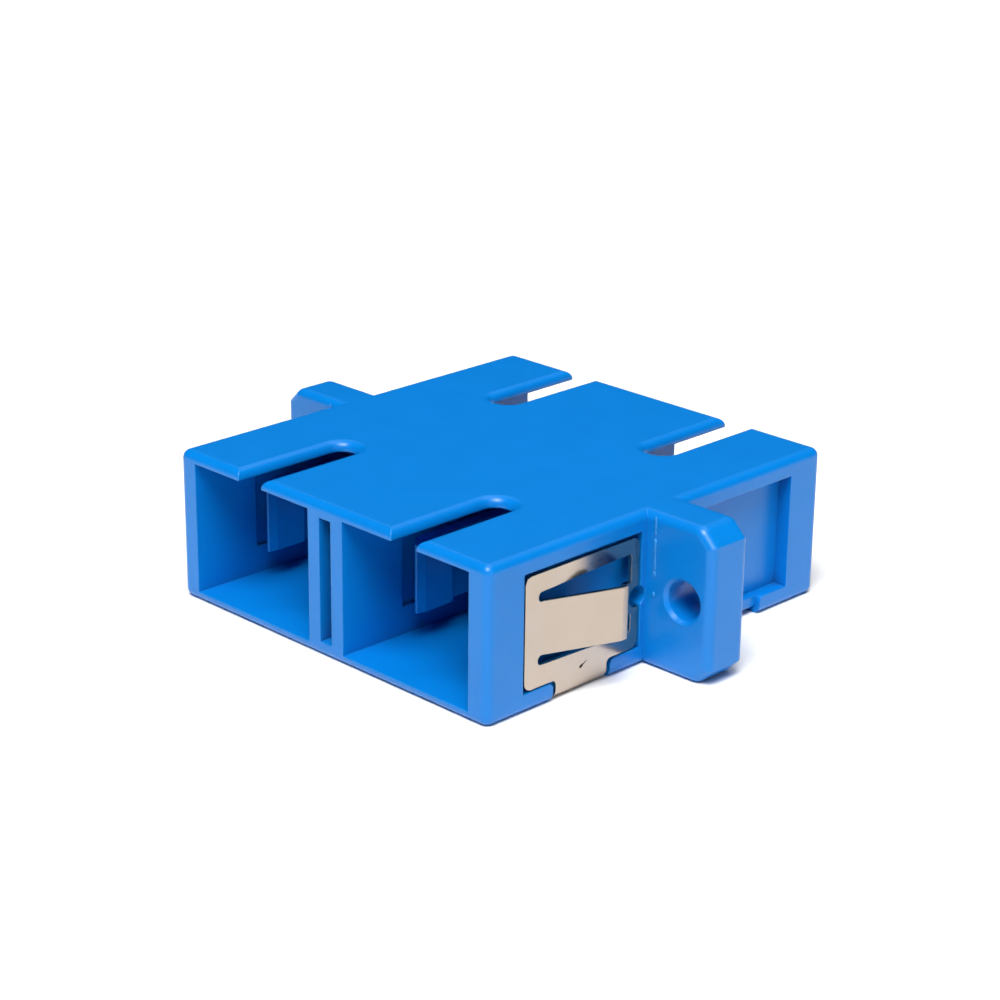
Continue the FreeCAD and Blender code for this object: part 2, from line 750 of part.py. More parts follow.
def add_clip_tabs(body):
    """Add the sprung tabs: a plan outline of the bent sheet, then its mirror."""
    tab = add_sketch(body, "tab_outline", "XY_Plane")
    wide = f"({HALF_WIDTH} - Sizes.clip_inset)"
    out = f"({wide} + Sizes.tab_rise)"
    root = f"-({CLIP_FAR} - Sizes.window_front)"
    fold = f"(-({CLIP_FAR} - Sizes.window_front) + Sizes.tab_relief)"
    crest = f"({fold} + Sizes.tab_run)"
    end = f"({crest} + Sizes.tab_lip)"
    hypotenuse = "sqrt(Sizes.tab_run * Sizes.tab_run + Sizes.tab_rise * Sizes.tab_rise)"
    mitre = f"Sizes.clip_sheet * ({hypotenuse} - Sizes.tab_run) / Sizes.tab_rise"
    corners = [
        (wide, root),
        (wide, fold),
        (out, crest),
        (out, end),
        (f"{out} - Sizes.clip_sheet", end),
        (f"{out} - Sizes.clip_sheet", f"{crest} + {mitre}"),
        (f"{wide} - Sizes.clip_sheet", f"{fold} + {mitre}"),
        (f"{wide} - Sizes.clip_sheet", root),
    ]
    draw_outline(tab, body, corners)
    right_tab = pad(body, tab, "right_tab", "Sizes.tab_width", both_ways=True)
    mirror(body, "left_tab", [right_tab])

    sheet = number(body, "Sizes.clip_sheet")
    offset = number(body, mitre)
    outer, crest_x = number(body, wide), number(body, out)
    fold_y, crest_y = number(body, fold), number(body, crest)

    def is_fold(edge, across, along):
        spot = middle_of(edge)
        on_line = same(abs(spot.x), across) and same(spot.y, along)
        return is_along(edge, "z") and on_line

    tight, loose = "Sizes.tab_fold", "Sizes.tab_fold + Sizes.clip_sheet"
    folds = {
        "root_bend_outside": (tight, outer, fold_y),
        "root_bend_inside": (loose, outer - sheet, fold_y + offset),
        "lip_bend_outside": (loose, crest_x, crest_y),
        "lip_bend_inside": (tight, crest_x - sheet, crest_y + offset),
    }
    for name, (radius, across, along) in folds.items():
        dress(body, "Fillet", name, radius, lambda e: is_fold(e, across, along))


def add_clip_notches(body):
    """Swell the strip behind each window and notch it round the gate mark."""
    middle = (f"-{GATE}", "-Sizes.gate_drop")
    inside = f"{HALF_WIDTH} - Sizes.clip_inset - Sizes.clip_sheet"
    swell = add_sketch(body, "swell_outline", "YZ_Plane", inside)
    radius = "(Sizes.gate_bore / 2 + Sizes.gate_land)"
    near = f"-{CLIP_NEAR}"
    far = f"-({GATE} + {radius})"
    drop = "Sizes.gate_drop"
    corners = [
        (near, f"-{drop} - {radius}"),
        (near, f"-{drop} + {radius}"),
        (far, f"-{drop} + {radius}"),
        (far, f"-{drop} - {radius}"),
    ]
    draw_outline(swell, body, corners)
    right_swell = pad(body, swell, "swell", "Sizes.clip_sheet")

    notch = add_sketch(body, "notch_outline", "YZ_Plane", inside)
    draw_circle(notch, body, middle, "Sizes.gate_bore")
    right_notch = pocket(body, notch, "notch", along_normal=True)
    mirror(body, "left_notch", [right_swell, right_notch])


# Document


def check(doc, nodes):
    """Stop if an object failed or a piece is not one valid solid."""
    for item in doc.Objects:
        if "Invalid" in item.State or "Error" in item.State:
            raise ValueError(f"{item.Name} failed: {item.State}")
    for node in nodes:
        shape = node.Shape
        if shape.isNull() or not shape.isValid() or len(shape.Solids) != 1:
            raise ValueError(f"{node.Label} is not one valid solid")


def main():
    """Build every piece, check it and write one STEP file for each."""
    doc = FreeCAD.newDocument("fibre_adapter")
    add_sheet(doc)
    nodes = [
        build_housing(doc, "front_housing", 0),
        build_housing(doc, "rear_housing", 180),
    ]
    for side, axis_sign in (("left", -1), ("right", 1)):
        nodes.append(build_latch(doc, f"{side}_front_latch", axis_sign, 0))
        nodes.append(build_latch(doc, f"{side}_rear_latch", axis_sign, 180))
        nodes.append(build_sleeve(doc, f"{side}_sleeve", axis_sign))
    nodes.append(build_clip(doc, "mounting_clip"))
    doc.recompute()
    check(doc, nodes)

    os.makedirs("parts", exist_ok=True)
    for node in nodes:
        node.Shape.exportStep(f"parts/{node.Label}.step")
        print(f"{node.Label}: {node.Shape.Volume:.2f} mm3")


main()
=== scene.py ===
"""Looks of a duplex fibre adapter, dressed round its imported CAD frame.

All lengths are metres in the frame of the CAD part: +Z up, the front mouths
at -Y, the origin in the middle of the flange.  Sizes written in millimetres
go through mm().
"""

import logging
import math
from dataclasses import dataclass
from enum import Enum

import bmesh
import bpy
from mathutils import Matrix, Vector


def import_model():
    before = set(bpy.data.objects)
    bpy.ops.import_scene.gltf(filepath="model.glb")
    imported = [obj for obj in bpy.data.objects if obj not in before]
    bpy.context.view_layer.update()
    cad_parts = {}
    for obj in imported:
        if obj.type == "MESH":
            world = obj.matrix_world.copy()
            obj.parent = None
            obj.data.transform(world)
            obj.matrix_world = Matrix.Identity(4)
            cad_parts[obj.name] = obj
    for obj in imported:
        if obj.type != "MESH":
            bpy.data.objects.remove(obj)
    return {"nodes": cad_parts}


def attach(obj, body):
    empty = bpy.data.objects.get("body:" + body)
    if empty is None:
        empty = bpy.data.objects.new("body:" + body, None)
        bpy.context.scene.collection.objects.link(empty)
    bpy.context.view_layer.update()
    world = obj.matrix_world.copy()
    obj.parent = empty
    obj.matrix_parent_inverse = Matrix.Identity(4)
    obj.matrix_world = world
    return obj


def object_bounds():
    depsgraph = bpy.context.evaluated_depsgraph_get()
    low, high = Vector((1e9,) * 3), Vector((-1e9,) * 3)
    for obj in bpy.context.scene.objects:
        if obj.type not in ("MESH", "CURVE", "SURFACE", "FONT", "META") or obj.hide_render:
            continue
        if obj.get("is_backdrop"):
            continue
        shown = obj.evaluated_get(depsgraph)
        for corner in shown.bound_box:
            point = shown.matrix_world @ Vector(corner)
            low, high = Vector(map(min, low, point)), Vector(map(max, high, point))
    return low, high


# Octaves of noise in soft clouds and marks.
SOFT_DETAIL = 2.0

Node = bpy.types.Node
Piece = bpy.types.Object
Socket = bpy.types.NodeSocket
Tree = bpy.types.NodeTree

log = logging.getLogger("adapter")


def mm(length: float) -> float:
    """Return a length given in millimetres in metres."""
    return length * 0.001


def linear(hex_colour: str) -> tuple[float, float, float, float]:
    """Turn an sRGB hex colour into linear light.

    Args:
        hex_colour: six hex digits, such as "1787E9".

    Returns:
        Red, green, blue and an alpha of 1.
    """
    parts = [int(hex_colour[i : i + 2], 16) / 255 for i in (0, 2, 4)]
    # The sRGB curve: a straight foot, and then a power.
    bent = [c / 12.92 if c <= 0.04045 else ((c + 0.055) / 1.055) ** 2.4 for c in parts]
    return (bent[0], bent[1], bent[2], 1.0)


def add_node(
    tree: Tree,
    kind: str,
    inputs: dict | None = None,
    links: dict | None = None,
    **settings: object,
) -> Node:
    """Add one node to a tree.

    Args:
        tree: the tree that gets the node.
        kind: the node's type name.
        inputs: values for its input sockets, by name or number.
        links: output sockets to link to its inputs, by name or number.
        settings: the node's own properties.

    Returns:
        The new node.
    """
    node = tree.nodes.new(kind)
    for name, value in settings.items():
        setattr(node, name, value)
    for socket, value in (inputs or {}).items():
        node.inputs[socket].default_value = value
    for socket, source in (links or {}).items():
        tree.links.new(source, node.inputs[socket])
    return node


def add_object(name: str, data: bpy.types.ID) -> Piece:
    """Add an object to the scene.

    Args:
        name: its name.
        data: its mesh, light or camera.

    Returns:
        The new object, at the origin.
    """
    added = bpy.data.objects.new(name, data)
    bpy.context.scene.collection.objects.link(added)
    return added


class Finish:
    """A finish: one named material made from nodes."""

    name: str

    def build(self) -> bpy.types.Material:
        """Make the finish's material, or find it if it is made already.

        Returns:
            The material.
        """
        found = bpy.data.materials.get(self.name)
        if found is not None:
            return found
        material = bpy.data.materials.new(self.name)
        material.use_nodes = True
        tree = material.node_tree
        tree.nodes.clear()
        shader = add_node(tree, "ShaderNodeBsdfPrincipled")
        surface = {"Surface": shader.outputs["BSDF"]}
        add_node(tree, "ShaderNodeOutputMaterial", None, surface)
        self.dress(tree, shader)
        return material

    def dress(self, tree: Tree, shader: Node) -> None:
        """Set up the finish's nodes round its shader.

        Args:
            tree: the material's node tree.
            shader: the shader in it.
        """
        raise NotImplementedError

    def set_constants(self, shader: Node, values: dict[str, object]) -> None:
        """Set what is the same all over the surface on the shader's sockets.

        Args:
            shader: the material's shader.
            values: the value of each socket, by name.
        """
        for socket, value in values.items():
            shader.inputs[socket].default_value = value

    def cloud_colours(
        self, tree: Tree, place: Socket, size: float, colours: tuple[str, str]
    ) -> tuple[Socket, Socket]:
        """Mix two near colours in clouds.

        Args:
            tree: the material's node tree.
            place: the Object coordinates.
            size: how wide a cloud is, in metres.
            colours: both colours in hex.

        Returns:
            The clouds' share of the second colour, and the mixed colour.
        """
        first, second = colours
        share = add_node(
            tree, "ShaderNodeTexNoise", {"Scale": 1 / size, "Detail": SOFT_DETAIL},
            {"Vector": place},
        ).outputs["Fac"]
        mixed = add_node(
            tree, "ShaderNodeMix", {"A": linear(first), "B": linear(second)},
            {"Factor": share}, data_type="RGBA",
        )
        return share, mixed.outputs["Result"]


@dataclass(frozen=True)
class MouldedPlastic(Finish):
    """PBT, injection-moulded in a spark-eroded steel tool.

    The dye goes right through, so the blue is deep and even; the skin is satin,
    with cloudy flow marks and a few pits. Edges get a painted highlight in a
    paler blue, and bores and slots a painted shade.
    Openness says how much of its near surroundings a spot sees: 1 on a free
    face, about a half in a corner, and little in a bore or slot.
    """

    name: str
    # The two blues of the flow marks, and a paler one for pits and for the painted
    # highlight on edges.
    colour: str
    shade: str
    edge: str
    roughness: float = 0.3
    ior: float = 1.42
    # Flow marks: clouds a few millimetres across.
    flow_size: float = mm(2.6)
    # Pits: specks of trapped dust, far apart and as wide as a hair.
    pit_spacing: float = mm(1.3)
    pit_radius: float = mm(0.055)
    pit_paleness: float = 0.4
    # Moulded corners are never sharp: a hair of radius on each outer edge.
    # A painted highlight pales it as it leans off the face, from the first cosine to the
    # second.
    edge_radius: float = mm(0.11)
    edge_rays: int = 4
    edge_paleness: float = 0.5
    edge_leans: tuple[float, float] = (0.98, 0.75)
    # An inner corner stays sharp: rounding grows from the first openness on,
    # and is full at the second.
    corner_openness: tuple[float, float] = (0.7, 0.9)
    # The weld between the halves flows flush, so its edges stay flat.
    weld_half: float = mm(0.13)
    # Bores and slots: the tool's pins leave them matt, and painted shade darkens them.
    # From the first openness to the second, the blue's share grows from
    # bore_blue to all of it, and the roughness loses its bore_roughness.
    # Painted shade: the dark navy that bores and slots are darkened towards.
    painted_shade: str = "00285A"
    crevice: float = mm(1.4)
    crevice_rays: int = 6
    bore_openness: tuple[float, float] = (0.2, 0.52)
    bore_blue: float = 0.35
    bore_roughness: float = 0.6
    # Spark-eroded grain, drawn coarser than the tool's so that it shows; the
    # roughness varies with it by grain_roughness.
    grain: float = mm(0.12)
    grain_detail: float = 3.0
    grain_depth: float = mm(0.01)
    grain_strength: float = 0.3
    grain_roughness: tuple[float, float] = (-0.05, 0.07)

    def dress(self, tree: Tree, shader: Node) -> None:
        """Mix the blues, pale pits, paint edge highlight and bore shade, grain the skin.

        Args:
            tree: the material's node tree.
            shader: the shader in it.
        """
        place = add_node(tree, "ShaderNodeTexCoord").outputs["Object"]
        openness = add_node(
            tree, "ShaderNodeAmbientOcclusion", {"Distance": self.crevice},
            samples=self.crevice_rays, only_local=True,
        ).outputs["AO"]
        normal, edge = self.round_edges(tree, place, openness)
        blue = self.pale_blue(tree, place, edge)
        low, high = self.bore_openness
        unshaded_share = add_node(
            tree, "ShaderNodeMapRange",
            {
                "From Min": low, "From Max": high,
                "To Min": self.bore_blue, "To Max": 1.0,
            },
            {"Value": openness},
        ).outputs["Result"]
        # Painted shade: the blue darkens towards dark navy where the surface lies shut in.
        shaded_blue = add_node(
            tree, "ShaderNodeMix", {"A": linear(self.painted_shade)}, {"Factor": unshaded_share, "B": blue},
            data_type="RGBA",
        )
        tree.links.new(shaded_blue.outputs["Result"], shader.inputs["Base Color"])
        self.grain_skin(tree, shader, place, normal, unshaded_share)
        self.set_constants(shader, {"IOR": self.ior})

    def round_edges(
        self, tree: Tree, place: Socket, openness: Socket
    ) -> tuple[Socket, Socket]:
        """Round the outer edges by a hair.

        Args:
            tree: the material's node tree.
            place: the Object coordinates.
            openness: how open the surface lies.

        Returns:
            The rounded normal, and the strength of the painted highlight on the edge.
        """
        bevel = add_node(
            tree, "ShaderNodeBevel", {"Radius": self.edge_radius}, samples=self.edge_rays
        )
        flat = add_node(tree, "ShaderNodeNewGeometry").outputs["Normal"]
        axes = add_node(tree, "ShaderNodeSeparateXYZ", None, {"Vector": place})
        off_weld = add_node(
            tree, "ShaderNodeMath", None, {0: axes.outputs["Y"]}, operation="ABSOLUTE"
        )
        clear_of_weld = add_node(
            tree, "ShaderNodeMath", {1: self.weld_half}, {0: off_weld.outputs["Value"]},
            operation="GREATER_THAN",
        )
        low, high = self.corner_openness
        outward = add_node(
            tree, "ShaderNodeMapRange", {"From Min": low, "From Max": high},
            {"Value": openness},
        )
        share = add_node(
            tree, "ShaderNodeMath", None,
            {0: clear_of_weld.outputs["Value"], 1: outward.outputs["Result"]},
            operation="MULTIPLY",
        )
        # Inputs 4 and 5 and output 1 are the Mix node's vectors.
        normal = add_node(
            tree, "ShaderNodeMix", None,
            {"Factor": share.outputs["Value"], 4: flat, 5: bevel.outputs["Normal"]},
            data_type="VECTOR",
        ).outputs[1]
        # Painted highlight: the edge pales as its rounded normal leans off the face.
        lean = add_node(
            tree, "ShaderNodeVectorMath", None, {0: normal, 1: flat},
            operation="DOT_PRODUCT",
        )
        start, full = self.edge_leans
        edge = add_node(
            tree, "ShaderNodeMapRange",
            {"From Min": start, "From Max": full, "To Max": self.edge_paleness},
            {"Value": lean.outputs["Value"]},
        )
        return normal, edge.outputs["Result"]

    def pale_blue(self, tree: Tree, place: Socket, edge: Socket) -> Socket:
        """Mix the two blues of the flow marks, pale the pits, and paint a highlight on the
        edges.

        Args:
            tree: the material's node tree.
            place: the Object coordinates.
            edge: the strength of the painted highlight on the edges.

        Returns:
            The colour before bores and slots get their painted shade.
        """
        cells = add_node(
            tree, "ShaderNodeTexVoronoi", {"Scale": 1 / self.pit_spacing}, {"Vector": place}
        )
        rim = self.pit_radius / self.pit_spacing
        pit = add_node(
            tree, "ShaderNodeMapRange",
            {"From Min": rim, "From Max": rim / 2, "To Max": self.pit_paleness},
            {"Value": cells.outputs["Distance"]},
        )
        pale = add_node(
            tree, "ShaderNodeMath", None, {0: edge, 1: pit.outputs["Result"]},
            operation="MAXIMUM",
        )
        _, flow = self.cloud_colours(tree, place, self.flow_size, (self.colour, self.shade))
        blue = add_node(
            tree, "ShaderNodeMix", {"B": linear(self.edge)},
            {"Factor": pale.outputs["Value"], "A": flow}, data_type="RGBA",
        )
        return blue.outputs["Result"]

    def grain_skin(
        self, tree: Tree, shader: Node, place: Socket, normal: Socket, unshaded_share: Socket
    ) -> None:
        """Give the skin its grain, and leave bores and slots matt.

        Args:
            tree: the material's node tree.
            shader: the shader in it.
            place: the Object coordinates.
            normal: the rounded normal.
            unshaded_share: the share of the blue without painted shade, lowest in bores and
                slots.
        """
        skin = add_node(
            tree, "ShaderNodeTexNoise",
            {"Scale": 1 / self.grain, "Detail": self.grain_detail}, {"Vector": place},
        ).outputs["Fac"]
        smoother, rougher = self.grain_roughness
        satin = add_node(
            tree, "ShaderNodeMapRange",
            {"To Min": self.roughness + smoother, "To Max": self.roughness + rougher},
            {"Value": skin},
        )
        matt = add_node(
            tree, "ShaderNodeMapRange",
            {
                "From Min": self.bore_blue, "From Max": 1.0,
                "To Min": self.bore_roughness, "To Max": 0.0,
            },
            {"Value": unshaded_share},
        )
        rough = add_node(
            tree, "ShaderNodeMath", None,
            {0: satin.outputs["Result"], 1: matt.outputs["Result"]}, operation="ADD",
        )
        tree.links.new(rough.outputs["Value"], shader.inputs["Roughness"])
        bump = add_node(
            tree, "ShaderNodeBump",
            {"Strength": self.grain_strength, "Distance": self.grain_depth},
            {"Height": skin, "Normal": normal},
        )
        tree.links.new(bump.outputs["Normal"], shader.inputs["Normal"])


@dataclass(frozen=True)
class SpringSteel(Finish):
    """Stainless spring strip, cold-rolled bright and then blanked and folded.

    It mirrors the room softly, with fine lines along the roll, and handling
    leaves broad dull smears that are a little warmer than the steel.
    """

    name: str
    colour: str
    smear: str
    smear_size: float = mm(1.8)
    # How far the lines and smears take the roughness, from fresh to dull.
    fresh_roughness: float = 0.1
    dull_roughness: float = 0.33
    # Rolling lines are finer than this; drawn coarse enough to show, and drawn
    # out along Y, as the strip was rolled.
    roll_pitch: float = mm(0.08)
    roll_detail: float = 4.0
    roll_depth: float = mm(0.005)
    roll_strength: float = 0.08
    roll_squeeze: tuple[float, float, float] = (1.0, 0.12, 1.0)
    # Blanking rolls the sheet's edges over by a hair.
    edge_radius: float = mm(0.05)
    edge_rays: int = 4

    def dress(self, tree: Tree, shader: Node) -> None:
        """Lay rolling lines along the strip, and smears over them.

        Args:
            tree: the material's node tree.
            shader: the shader in it.
        """
        place = add_node(tree, "ShaderNodeTexCoord").outputs["Object"]
        handled, tint = self.cloud_colours(
            tree, place, self.smear_size, (self.colour, self.smear)
        )
        tree.links.new(tint, shader.inputs["Base Color"])
        along = add_node(
            tree, "ShaderNodeMapping", {"Scale": self.roll_squeeze}, {"Vector": place}
        )
        lines = add_node(
            tree, "ShaderNodeTexNoise",
            {"Scale": 1 / self.roll_pitch, "Detail": self.roll_detail},
            {"Vector": along.outputs["Vector"]},
        ).outputs["Fac"]
        worn = add_node(
            tree, "ShaderNodeMath", None, {0: lines, 1: handled}, operation="MULTIPLY"
        )
        rough = add_node(
            tree, "ShaderNodeMapRange",
            {"To Min": self.fresh_roughness, "To Max": self.dull_roughness},
            {"Value": worn.outputs["Value"]},
        )
        tree.links.new(rough.outputs["Result"], shader.inputs["Roughness"])
        rolled = add_node(
            tree, "ShaderNodeBevel", {"Radius": self.edge_radius}, samples=self.edge_rays
        )
        bump = add_node(
            tree, "ShaderNodeBump",
            {"Strength": self.roll_strength, "Distance": self.roll_depth},
            {"Height": lines, "Normal": rolled.outputs["Normal"]},
        )
        tree.links.new(bump.outputs["Normal"], shader.inputs["Normal"])
        self.set_constants(shader, {"Metallic": 1.0})


@dataclass(frozen=True)
class ScaledSteel(Finish):
    """Steel blued by the blanking press, in a scar a few hairs wide.

    Oxide and oil make it near black and dull, and partly hide the metal.
    """

    name: str
    colour: str
    soot: str
    speck: float = mm(0.06)
    metallic: float = 0.6
    roughness: float = 0.6

    def dress(self, tree: Tree, shader: Node) -> None:
        """Speckle the scar from near black to brown.

        Args:
            tree: the material's node tree.
            shader: the shader in it.
        """
        place = add_node(tree, "ShaderNodeTexCoord").outputs["Object"]
        _, tint = self.cloud_colours(tree, place, self.speck, (self.colour, self.soot))
        tree.links.new(tint, shader.inputs["Base Color"])
        self.set_constants(shader, {"Metallic": self.metallic, "Roughness": self.roughness})


@dataclass(frozen=True)
class GroundZirconia(Finish):
    """Zirconia, fired and then ground and lapped to size.

    Dense white with a hint of cream and a wet-looking gloss.
    """

    name: str
    colour: str
    cream: str
    roughness: float = 0.22
    ior: float = 2.1
    cloud: float = mm(1.2)
    # Grinding marks run round the sleeve; drawn coarse enough to show.
    grind_pitch: float = mm(0.05)
    grind_depth: float = mm(0.005)
    grind_strength: float = 0.05
    grind_squeeze: tuple[float, float, float] = (0.1, 1.0, 0.1)

    def dress(self, tree: Tree, shader: Node) -> None:
        """Cloud the white with cream and ring it with grinding marks.

        Args:
            tree: the material's node tree.
            shader: the shader in it.
        """
        place = add_node(tree, "ShaderNodeTexCoord").outputs["Object"]
        _, tint = self.cloud_colours(tree, place, self.cloud, (self.colour, self.cream))
        tree.links.new(tint, shader.inputs["Base Color"])
        round_it = add_node(
            tree, "ShaderNodeMapping", {"Scale": self.grind_squeeze}, {"Vector": place}
        )
        marks = add_node(
            tree, "ShaderNodeTexNoise",
            {"Scale": 1 / self.grind_pitch, "Detail": SOFT_DETAIL},
            {"Vector": round_it.outputs["Vector"]},
        )
        bump = add_node(
            tree, "ShaderNodeBump",
            {"Strength": self.grind_strength, "Distance": self.grind_depth},
            {"Height": marks.outputs["Fac"]},
        )
        tree.links.new(bump.outputs["Normal"], shader.inputs["Normal"])
        self.set_constants(shader, {"Roughness": self.roughness, "IOR": self.ior})


@dataclass(frozen=True)
class StudioPaper(Finish):
    """Matt white paper sweep; it throws soft light back up."""

    name: str
    colour: str
    roughness: float = 0.9
    specular: float = 0.1

    def dress(self, tree: Tree, shader: Node) -> None:
        """Give the paper its plain matt white.

        Args:
            tree: the material's node tree.
            shader: the shader in it.
        """
        self.set_constants(
            shader,
            {
                "Base Color": linear(self.colour),
                "Roughness": self.roughness,
                "Specular IOR Level": self.specular,
            },
        )


@dataclass(frozen=True)
class LitCloth(Finish):
    """White cloth with a lamp behind it, which glows evenly."""

    name: str
    colour: str
    glow: float = 1.0

    def dress(self, tree: Tree, shader: Node) -> None:
        """Let the cloth glow as white as the paper looks.

        Args:
            tree: the material's node tree.
            shader: the shader in it.
        """
        self.set_constants(
            shader,
            {
                "Base Color": linear(self.colour),
                "Emission Color": linear(self.colour),
                "Emission Strength": self.glow,
            },
        )


class Shade(Enum):
    """The finishes of the adapter, by what each piece is made of."""

    HOUSING = MouldedPlastic("Moulded PBT, bright blue", "0279CE", "0073C4", "3C9EE6")
    # The latch is the housing's PBT, painted a deeper blue for the shade inside the ports.
    SHADED_LATCH = MouldedPlastic("Moulded PBT, blue in painted shade", "006CBF", "0068B8", "2F86D2")
    # The flash's paler blue is partly the thin flash's own colour and partly painted
    # highlight along its ridge.
    FLASH = MouldedPlastic("Moulded PBT, thin flash", "2F8EDC", "2484D4", "4C9EE4")
    CLIP = SpringSteel("Rolled spring steel", "BAADA1", "B4A595")
    SCAR = ScaledSteel("Scaled steel", "1C1614", "3A2C26")
    SLEEVE = GroundZirconia("Ground zirconia", "F0EEE8", "E9E3D2")
    PAPER = StudioPaper("Studio paper, white", "F6F6F6")
    CLOTH = LitCloth("Backlit cloth, white", "FFFFFF")


def bake_modifiers(draft: Piece, name: str) -> Piece:
    """Turn what an object's modifiers make into a plain mesh piece.

    Args:
        draft: the object with its modifiers; it is removed.
        name: the new piece's name.

    Returns:
        The new piece, at the origin, with no modifiers.
    """
    graph = bpy.context.evaluated_depsgraph_get()
    mesh = bpy.data.meshes.new_from_object(draft.evaluated_get(graph))
    mesh.name = name
    draft.modifiers.clear()
    bpy.data.objects.remove(draft)
    return add_object(name, mesh)


@dataclass
class BeadedLine:
    """A raised line of small beads along a path, made by Geometry Nodes."""

    spacing: float
    radius: float
    # How long each bead is for its thickness, along Z.
    stretch: float
    seed: int
    # The thinnest and thickest bead, as shares of the radius.
    thinnest: float = 0.6
    thickest: float = 1.15
    # Two give a bead 80 faces.
    subdivisions: int = 2

    def sockets(self) -> Tree:
        """Start the node tree with its named inputs and its output.

        Returns:
            The tree, with no nodes in it.
        """
        tree = bpy.data.node_groups.new("beaded line", "GeometryNodeTree")
        face = tree.interface
        face.new_socket("Path", in_out="INPUT", socket_type="NodeSocketGeometry")
        for label, kind in (
            ("Bead Spacing", "NodeSocketFloat"),
            ("Bead Radius", "NodeSocketFloat"),
            ("Stretch", "NodeSocketFloat"),
            ("Seed", "NodeSocketInt"),
        ):
            face.new_socket(label, in_out="INPUT", socket_type=kind)
        face.new_socket("Beads", in_out="OUTPUT", socket_type="NodeSocketGeometry")
        return tree

    def tree(self, finish: Shade) -> Tree:
        """Build the node tree that strings the beads.

        Args:
            finish: what the beads are made of.

        Returns:
            The tree, with its sizes as named inputs.
        """
        tree = self.sockets()
        given = add_node(tree, "NodeGroupInput").outputs
        curve = add_node(tree, "GeometryNodeMeshToCurve", None, {"Mesh": given["Path"]})
        stops = add_node(
            tree, "GeometryNodeResampleCurve", None,
            {"Curve": curve.outputs["Curve"], "Length": given["Bead Spacing"]},
            mode="LENGTH",
        )
        bead = add_node(
            tree, "GeometryNodeMeshIcoSphere", {"Subdivisions": self.subdivisions},
            {"Radius": given["Bead Radius"]},
        )
        # Inputs 2 and 3 and output 1 are the random node's plain numbers.
        thick = add_node(
            tree, "FunctionNodeRandomValue", {2: self.thinnest, 3: self.thickest},
            {"Seed": given["Seed"]}, data_type="FLOAT",
        ).outputs[1]
        tall = add_node(
            tree, "ShaderNodeMath", None, {0: thick, 1: given["Stretch"]},
            operation="MULTIPLY",
        )
        shape = add_node(
            tree, "ShaderNodeCombineXYZ", None,
            {"X": thick, "Y": thick, "Z": tall.outputs["Value"]},
        )
        strung = add_node(
            tree, "GeometryNodeInstanceOnPoints", None,
            {
                "Points": stops.outputs["Curve"],
                "Instance": bead.outputs["Mesh"],
                "Scale": shape.outputs["Vector"],
            },
        )
        real = add_node(
            tree, "GeometryNodeRealizeInstances", None,
            {"Geometry": strung.outputs["Instances"]},
        )
        dressed = add_node(
            tree, "GeometryNodeSetMaterial", {"Material": finish.value.build()},
            {"Geometry": real.outputs["Geometry"]},
        )
        add_node(tree, "NodeGroupOutput", None, {"Beads": dressed.outputs["Geometry"]})
        return tree

    def build(self, name: str, runs: list[tuple[Vector, Vector]], finish: Shade) -> Piece:
        """String beads along some straight runs.

        Args:
            name: the piece's name.
            runs: both ends of each run, in metres.
            finish: what the beads are made of.

        Returns:
            The beads as one mesh piece.
        """
        path = bpy.data.meshes.new("path")
        ends = [end for run in runs for end in run]
        path.from_pydata(ends, [(2 * i, 2 * i + 1) for i in range(len(runs))], [])
        draft = add_object("draft", path)
        strings = draft.modifiers.new("beads", "NODES")
        tree = self.tree(finish)
        strings.node_group = tree
        sizes = {
            "Bead Spacing": self.spacing, "Bead Radius": self.radius,
            "Stretch": self.stretch, "Seed": self.seed,
        }
        for item in tree.interface.items_tree:
            if item.in_out == "INPUT" and item.name in sizes:
                strings[item.identifier] = sizes[item.name]
        return bake_modifiers(draft, name)


@dataclass
class EarFlash:
    """Broken flash where the mould's inserts met, on the front of each ear."""

    # The ear's front face, and the line's place on it.
    face_y: float = mm(-1.5)
    line_x: float = mm(13.34)
    # The top and the foot of each dash, in millimetres up from the origin.
    dashes: tuple[tuple[float, float], ...] = (
        (4.25, 3.45), (2.95, 2.35), (2.15, 1.35), (1.06, 1.0), (-0.15, -0.22),
    )
    bead_radius: float = mm(0.1)
    bead_stretch: float = 1.6
    # How far a bead stands out of the ear, as a share of its radius.
    bead_height: float = 0.4
    spacing: float = mm(0.11)
    right_seed: int = 4
    left_seed: int = 9

    def build(self) -> list[Piece]:
        """Lay the line on both ears, mirrored.

        Returns:
            The right line and the left one.
        """
        sides = (("right", 1, self.right_seed), ("left", -1, self.left_seed))
        return [self.build_side(*side) for side in sides]

    def build_side(self, side: str, sign: int, seed: int) -> Piece:
        """Lay the line on one ear.

        Args:
            side: the ear's side, right or left.
            sign: 1 on the right and -1 on the left.
            seed: the seed of the beads' sizes.

        Returns:
            The line's piece.
        """
        x = sign * self.line_x
        runs = [
            (Vector((x, self.face_y, mm(top))), Vector((x, self.face_y, mm(foot))))
            for top, foot in self.dashes
        ]
        line = BeadedLine(self.spacing, self.bead_radius, self.bead_stretch, seed)
        piece = line.build(f"flash_line_{side}", runs, Shade.FLASH)
        for vertex in piece.data.vertices:
            vertex.co.y = self.face_y + (vertex.co.y - self.face_y) * self.bead_height
        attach(piece, "root")
        return piece


